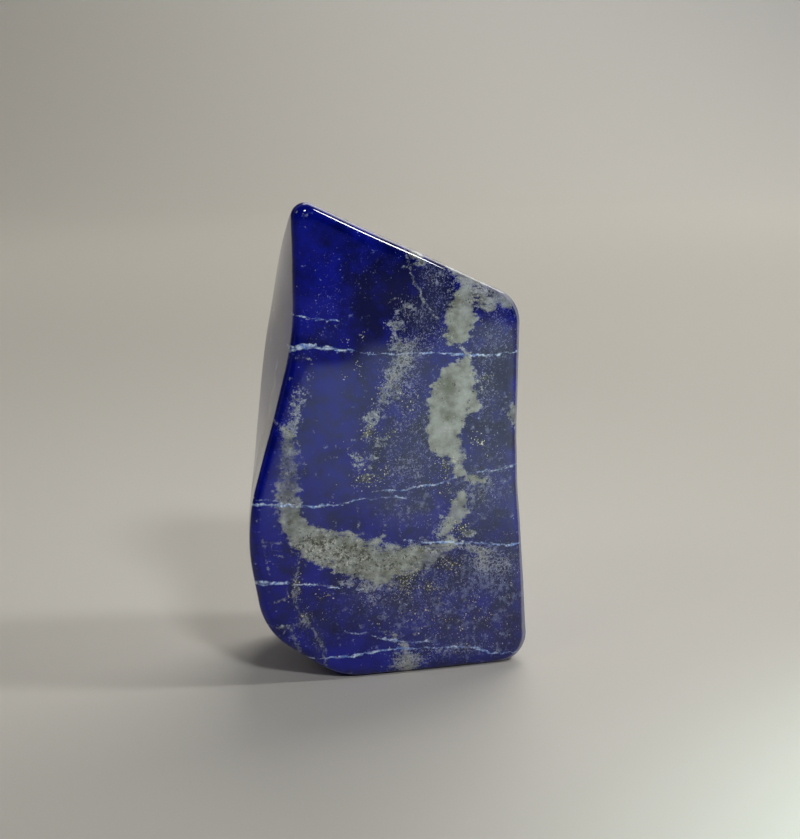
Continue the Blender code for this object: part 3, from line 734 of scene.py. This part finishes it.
    # calcite, with a border that is soft in places and feathered in others
    smooth_edged = mask(tree, 5.15, 5.85, [
        (1.0, mark["calcite"]), (3.0, patchy), (2.4, middling), (2.6, feather), (1.8, fine), (1.2, grit),
    ], 0.95)
    feathered = mask(tree, 7.6, 8.9, [
        (1.0, mark["calcite"]), (3.2, patchy), (6.0, feather), (3.0, fine), (3.6, grit),
    ], 0.95)
    calcite = lay(tree, smooth_edged, feathered, mark["grainy"])
    solid = add(tree, "ShaderNodeMath", {0: mark["thin"], 1: -0.6, 2: 1.0}, operation="MULTIPLY_ADD")
    calcite = add(tree, "ShaderNodeMath", {0: calcite, 1: solid}, operation="MULTIPLY")
    tone = mask(tree, 0.70, 1.45, [
        (0.9, patchy), (0.9, middling), (0.3, feather), (0.3, mark["pale"]),
    ])
    calcite_colour = lay(tree, linear(colours.calcite_shade_hex), linear(colours.calcite_hex), tone)
    bright_grain = mask(tree, 0.86, 0.94, [
        (1.0, dust), (0.4, feather), (0.06, mark["pale"]), (0.11, mark["grainy"]),
    ], 0.75)
    calcite_colour = lay(tree, calcite_colour, linear(colours.calcite_light_hex), bright_grain)
    dark_grain = mask(tree, 0.86, 0.94, [
        (1.0, grit), (0.4, feather), (-0.10, mark["pale"]), (0.12, mark["grainy"]),
    ], 0.8)
    calcite_colour = lay(tree, calcite_colour, linear(colours.calcite_dark_hex), dark_grain)
    colour = lay(tree, colour, calcite_colour, calcite)

    # the right edge: a painted reflection, grey lavender laid over the colour and broken up by grit
    painted_edge_reflection = mask(tree, 0.55, 1.20, [(0.9, mark["edge"]), (0.6, grit)], 0.75)
    colour = lay(tree, colour, linear(colours.edge_reflection_hex), painted_edge_reflection)

    # veins: a line that wanders, broken up by grain, for each kind's graininess, strength, grain and colours
    clear = mask(tree, 0.40, 0.60, [(1.0, fine)])
    white = colours.vein_shade_hex, colours.vein_hex
    cream = colours.haze_shade_hex, colours.crack_hex
    kinds = (
        ("level", 0.9, 1.0, fibre, white), ("slanted", 1.6, 0.62, grit, cream),
        ("second", 1.1, 0.85, fibre, white), ("faint", 1.6, 0.38, grit, cream),
    )
    for i, (name, graininess, top, grain, (dull_hex, clear_hex)) in enumerate(kinds):
        offset = add(tree, "ShaderNodeAttribute", output="Fac", attribute_name="vein_" + name)
        width = add(tree, "ShaderNodeAttribute", output="Fac", attribute_name="width_" + name)
        wander = noise(2.2, 4.0, 0.7, 70.0 + 9.0 * i)
        wander = add(tree, "ShaderNodeMath", {0: wander, 1: 0.5}, operation="SUBTRACT")
        offset = add(tree, "ShaderNodeMath", {0: wander, 1: 1.8, 2: offset}, operation="MULTIPLY_ADD")
        jitter = add(tree, "ShaderNodeMath", {0: dust, 1: 0.5}, operation="SUBTRACT")
        offset = add(tree, "ShaderNodeMath", {0: jitter, 1: graininess, 2: offset}, operation="MULTIPLY_ADD")
        offset = add(tree, "ShaderNodeMath", {0: offset}, operation="ABSOLUTE")
        strength = noise(2.6, 3.0, 0.75, 90.0 + 7.0 * i)
        drawn = add(tree, "ShaderNodeMath", {0: width, 1: 0.04}, operation="GREATER_THAN")
        line = mask(tree, 0.38 + 0.5 * graininess, 0.66 + 0.5 * graininess, [
            (0.8, width), (-1.0, offset), (0.9, strength), (graininess, grain),
        ], top)
        line = add(tree, "ShaderNodeMath", {0: line, 1: drawn}, operation="MULTIPLY")
        streaks = mask(tree, 0.40, 0.54, [(1.0, grain)], 0.6)
        streaks = add(tree, "ShaderNodeMath", {0: streaks, 1: 0.4}, operation="ADD")
        line = add(tree, "ShaderNodeMath", {0: line, 1: streaks}, operation="MULTIPLY")
        line_colour = lay(tree, linear(dull_hex), linear(clear_hex), clear)
        colour = lay(tree, colour, line_colour, line)

    # pyrite grains, the only metal; their pale and dull colours are partly fresh and tarnished pyrite and
    # partly a painted highlight on the grains that catch the light
    few = add(tree, "ShaderNodeMath", {0: mark["pyrite"], 1: 0.6}, operation="MULTIPLY")
    gold = add(tree, "ShaderNodeMath", {
        0: grains(0.42, 0.08, 0.18, mark["pyrite"]), 1: grains(1.0, 0.12, 0.28, few),
    }, operation="MAXIMUM")
    sparkle_share = mask(tree, 0.40, 0.62, [(1.0, grit)])
    gold_colour = lay(tree, linear(colours.pyrite_tarnish_and_shade_hex), linear(colours.pyrite_fresh_and_glint_hex), sparkle_share)
    colour = lay(tree, colour, gold_colour, gold)

    # calcite is softer than lazurite, so the polish leaves it duller and slightly pitted
    roughness = add(tree, "ShaderNodeMath", {0: calcite, 1: 0.07, 2: 0.045}, operation="MULTIPLY_ADD")
    roughness = add(tree, "ShaderNodeMath", {0: gold, 1: 0.3, 2: roughness}, operation="MULTIPLY_ADD")
    roughness = add(tree, "ShaderNodeMath", {
        0: mark["satin"], 1: 0.08, 2: roughness,
    }, operation="MULTIPLY_ADD")
    relief = add(tree, "ShaderNodeMath", {0: calcite, 1: grit}, operation="MULTIPLY")
    bump = add(tree, "ShaderNodeBump", {
        "Strength": 0.25, "Distance": 0.02 * MM, "Height": relief,
    }, output="Normal")
    shader = add(tree, "ShaderNodeBsdfPrincipled", {
        "Base Color": colour, "Metallic": gold, "Roughness": roughness, "IOR": 1.5, "Normal": bump,
    })
    output = tree.nodes.new("ShaderNodeOutputMaterial")
    tree.links.new(shader, output.inputs["Surface"])
    return material


class LapisShape(bpy.types.PropertyGroup):
    """Sizes of the stone's fine surface."""
    spacing: bpy.props.FloatProperty(
        name="Point Spacing", description="Distance between neighbouring points of the skin",
        default=0.75 * MM, unit="LENGTH",
    )
    waves: bpy.props.FloatProperty(
        name="Lapping Waves", description="Height of the longest shallow wave that hand lapping leaves",
        default=0.05 * MM, unit="LENGTH",
    )


class LapisColours(bpy.types.PropertyGroup):
    """Colours of the stone's minerals, as sRGB hex."""
    deep_blue_hex: bpy.props.StringProperty(
        name="Deep Blue", description="Lazurite where it is darkest", default="#030a48",
    )
    bright_blue_hex: bpy.props.StringProperty(
        name="Bright Blue", description="Lazurite where it is clearest", default="#081498",
    )
    mottle_hex: bpy.props.StringProperty(
        name="Mottle", description="Lazurite mixed with a little white, in lumps", default="#8490ba",
    )
    wash_hex: bpy.props.StringProperty(
        name="Wash", description="Grey violet that clouds the blue where specks crowd", default="#6a6f94",
    )
    haze_hex: bpy.props.StringProperty(
        name="Haze", description="Blue clouded by calcite, where it is palest", default="#c4ccda",
    )
    haze_shade_hex: bpy.props.StringProperty(
        name="Haze Shade", description="Blue clouded by calcite, where it is darkest", default="#56607c",
    )
    tarnish_hex: bpy.props.StringProperty(
        name="Tarnish", description="Dark greenish rock around the pyrite", default="#3c4030",
    )
    night_hex: bpy.props.StringProperty(
        name="Night", description="Nearly black grains between the specks", default="#06081e",
    )
    speck_hex: bpy.props.StringProperty(
        name="Specks", description="Fine lavender-white specks", default="#a2aee4",
    )
    cream_hex: bpy.props.StringProperty(
        name="Cream", description="Fine pale specks where calcite clouds the blue", default="#c6cad0",
    )
    calcite_hex: bpy.props.StringProperty(
        name="Calcite", description="Grey-green calcite", default="#bcc2bf",
    )
    calcite_shade_hex: bpy.props.StringProperty(
        name="Calcite Shade", description="Calcite where it is grainy and grey", default="#767a6a",
    )
    calcite_light_hex: bpy.props.StringProperty(
        name="Calcite Light", description="Fresh white grains in the calcite", default="#efefe4",
    )
    calcite_dark_hex: bpy.props.StringProperty(
        name="Calcite Dark", description="Dark grains in the calcite", default="#3c3c30",
    )
    # painted reflection: this grey lavender stands for the pale room mirrored in the right rim
    edge_reflection_hex: bpy.props.StringProperty(
        name="Painted Edge Reflection", description="Grey lavender reflection painted on the right edge", default="#9a9aac",
    )
    vein_hex: bpy.props.StringProperty(
        name="Vein", description="White veins at their clearest", default="#dcecff",
    )
    vein_shade_hex: bpy.props.StringProperty(
        name="Vein Shade", description="White veins where the blue shows through", default="#6c92dc",
    )
    crack_hex: bpy.props.StringProperty(
        name="Crack", description="Slanted veins and healed cracks, filled with calcite", default="#d2d8d8",
    )
    # partly painted highlight: the pale colour also stands for grains that catch the light
    pyrite_fresh_and_glint_hex: bpy.props.StringProperty(
        name="Pyrite", description="Fresh pyrite grains", default="#eeebdc",
    )
    # partly painted shade: the dull colour also stands for grains that catch no light
    pyrite_tarnish_and_shade_hex: bpy.props.StringProperty(
        name="Pyrite Shade", description="Tarnished pyrite grains", default="#a29f7c",
    )


class LapisStage(bpy.types.PropertyGroup):
    """Camera, floor and light."""
    turn: bpy.props.FloatProperty(
        name="Camera Turn", description="How far round to the left of the front face the camera stands",
        default=math.radians(17.0), subtype="ANGLE",
    )
    distance: bpy.props.FloatProperty(
        name="Camera Distance", description="From the front face, along the floor",
        default=0.45, unit="LENGTH",
    )
    height: bpy.props.FloatProperty(
        name="Camera Height", description="Above the floor", default=0.146, unit="LENGTH",
    )
    lens: bpy.props.FloatProperty(
        name="Lens", description="Focal length in millimetres on a 36 mm wide sensor", default=90.54,
    )
    floor_hex: bpy.props.StringProperty(name="Floor", description="Pale warm grey", default="#c8c5bd")


class LAPIS_OT_stone(bpy.types.Operator):
    """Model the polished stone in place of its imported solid"""
    bl_idname = "lapis.stone"
    bl_label = "Polished Stone"

    def execute(self, context):
        shape = context.scene.lapis_shape
        points, ring_count, count = stone_surface(shape.spacing / MM, shape.waves / MM)
        middle = (points.min(axis=0) + points.max(axis=0)) / 2.0
        packed_middle = np.array((STONE_LOW + STONE_HIGH) / 2.0) / MM
        points[:, :2] += (packed_middle - middle)[:2]
        mesh = closed_mesh("polished_stone", points, ring_count, count)
        mesh.shade_smooth()
        mark_stone(mesh, points)
        mesh.materials.append(lapis_material(context.scene.lapis_colours))
        stone = bpy.data.objects.new("polished_stone", mesh)
        context.scene.collection.objects.link(stone)
        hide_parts("stone")
        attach(stone, "root")
        return {"FINISHED"}


class LAPIS_OT_stage(bpy.types.Operator):
    """Set the pale floor, the soft light and the camera"""
    bl_idname = "lapis.stage"
    bl_label = "Studio Stage"

    def execute(self, context):
        stage = context.scene.lapis_stage
        scene = context.scene
        floor_sweep(stage)
        light_room(scene)
        front = STONE_LOW.y
        swing_x, aim_x, aim_height = -0.000981, 0.000925, 0.06075
        aim = Vector((aim_x, front, aim_height))
        eye = Vector((
            swing_x - math.sin(stage.turn) * stage.distance,
            front - math.cos(stage.turn) * stage.distance,
            stage.height,
        ))
        data = bpy.data.cameras.new("camera")
        data.sensor_fit = "HORIZONTAL"
        data.sensor_width = 36.0
        data.lens = stage.lens
        data.clip_end = 20.0
        camera = bpy.data.objects.new("camera", data)
        camera.location = eye
        camera.rotation_euler = (aim - eye).to_track_quat("-Z", "Y").to_euler()
        scene.collection.objects.link(camera)
        scene.camera = camera
        scene.view_settings.view_transform = "Standard"
        return {"FINISHED"}


def floor_sweep(stage):
    """A floor that runs level and then curves up behind the stone: a profile in y and z carried along x.

    Its matt paper gives the stone a soft shadow and no mirror image.
    """
    half_width, front_edge, back_edge, radius, top = 7.0, -6.0, 1.2, 0.5, 2.4
    bend = np.linspace(0.0, math.pi / 2.0, 25)
    profile = np.concatenate([
        np.column_stack([np.linspace(front_edge, back_edge, 20), np.zeros(20)])[:-1],
        np.column_stack([back_edge + radius * np.sin(bend), radius - radius * np.cos(bend)]),
        [[back_edge + radius, top]],
    ])
    rows = len(profile)
    across = np.linspace(-half_width, half_width, 11)
    points = np.column_stack([np.repeat(across, rows), np.tile(profile, (len(across), 1))])
    corner = (np.arange(len(across) - 1)[:, None] * rows + np.arange(rows - 1)[None, :]).reshape(-1)
    faces = np.column_stack([corner, corner + rows, corner + rows + 1, corner + 1])
    mesh = bpy.data.meshes.new("floor_sweep")
    mesh.from_pydata(points.tolist(), [], faces.tolist())
    mesh.shade_smooth()
    material = bpy.data.materials.new("matt_paper_sweep")
    material.use_nodes = True
    shader = material.node_tree.nodes["Principled BSDF"]
    shader.inputs["Base Color"].default_value = linear(stage.floor_hex)
    shader.inputs["Roughness"].default_value = 0.6
    mesh.materials.append(material)
    floor = bpy.data.objects.new("floor_sweep", mesh)
    bpy.context.scene.collection.objects.link(floor)


def light_room(scene):
    """Soft studio light and a room that is dim in front of the stone and pale behind it.

    A wide window stands behind on the right and a small lamp above on the right. Cones of light fall from
    the ceiling onto the floor behind, from the front onto the stone, onto a pool on the floor that the front
    face reflects, onto the right and the left of the backdrop, and onto the foot of the stone's left side.
    Each lamp has its kind, place, target, size, power and colour, and each cone its angle and softness.
    """
    lamps = {
        "window": ("AREA", (0.72, 0.95, 1.10), (0.0, 0.0, 0.03), 1.2, 10.6, "#fffbf4"),
        "lamp": ("AREA", (0.62, -0.20, 0.80), (0.0, -0.02, 0.09), 0.16, 2.3, "#ffffff"),
        "ceiling": ("SPOT", (0.35, 0.75, 2.0), (0.25, 0.55, 0.0), 0.30, 18.0, "#fffcf6"),
        "front": ("SPOT", (0.10, -1.25, 1.05), (0.0, 0.0, 0.055), 0.12, 33.0, "#fbfcff"),
        "pool": ("SPOT", (0.36, -0.38, 1.2), (0.26, -0.325, 0.0), 0.05, 132.0, "#d8f2ee"),
        "wall": ("SPOT", (1.1, 0.5, 1.9), (1.25, 1.75, 0.25), 0.30, 90.0, "#f8faff"),
        "left wall": ("SPOT", (-0.9, 0.3, 1.7), (-0.45, 1.7, 0.3), 0.30, 22.0, "#f8faff"),
        "fill": ("SPOT", (-1.0, -0.5, 0.8), (-0.10, -0.03, 0.0), 0.30, 14.0, "#fffaf2"),
    }
    cones = {
        "ceiling": (48.0, 0.45), "front": (13.0, 0.5), "pool": (30.0, 0.6), "wall": (70.0, 1.0),
        "left wall": (80.0, 1.0), "fill": (20.0, 0.9),
    }
    for name, (kind, place, target, size, power, colour) in lamps.items():
        data = bpy.data.lights.new(name, kind)
        if kind == "AREA":
            data.shape = "DISK"
            data.size = size
        else:
            data.shadow_soft_size = size
            data.spot_size = math.radians(cones[name][0])
            data.spot_blend = cones[name][1]
        data.energy = power
        data.color = linear(colour)[:3]
        lamp = bpy.data.objects.new(name, data)
        lamp.location = place
        lamp.rotation_euler = (Vector(target) - Vector(place)).to_track_quat("-Z", "Y").to_euler()
        scene.collection.objects.link(lamp)
    world = bpy.data.worlds.new("room")
    scene.world = world
    world.use_nodes = True
    tree = world.node_tree
    tree.nodes.clear()
    direction = add(tree, "ShaderNodeTexCoord", output="Generated")
    split = add(tree, "ShaderNodeSeparateXYZ", {0: direction}, output="Y")
    fade = mask(tree, -0.2, 0.5, [(1.0, split)])
    colour = lay(tree, linear("#18181c"), linear("#d8dadc"), fade)
    background = add(tree, "ShaderNodeBackground", {"Color": colour, "Strength": 0.52})
    output = tree.nodes.new("ShaderNodeOutputWorld")
    tree.links.new(background, output.inputs["Surface"])


class LAPIS_PT_panel(bpy.types.Panel):
    """Lists the stone's sizes and colours, and the steps that build it"""
    bl_idname = "LAPIS_PT_panel"
    bl_label = "Polished Lapis Lazuli"
    bl_space_type = "VIEW_3D"
    bl_region_type = "UI"
    bl_category = "Lapis"

    def draw(self, context):
        for group in (context.scene.lapis_shape, context.scene.lapis_colours, context.scene.lapis_stage):
            box = self.layout.box()
            for name in group.__annotations__:
                box.prop(group, name)
        for operator in (LAPIS_OT_stone, LAPIS_OT_stage):
            self.layout.operator(operator.bl_idname)


GROUPS = {"lapis_shape": LapisShape, "lapis_colours": LapisColours, "lapis_stage": LapisStage}
CLASSES = (*GROUPS.values(), LAPIS_OT_stone, LAPIS_OT_stage, LAPIS_PT_panel)


def register():
    for cls in CLASSES:
        bpy.utils.register_class(cls)
    for name, group in GROUPS.items():
        setattr(bpy.types.Scene, name, bpy.props.PointerProperty(type=group))


def unregister():
    for name in GROUPS:
        delattr(bpy.types.Scene, name)
    for cls in reversed(CLASSES):
        bpy.utils.unregister_class(cls)


def main():
    register()
    bpy.ops.lapis.stone()
    bpy.ops.lapis.stage()


if __name__ == "__main__":
    main()
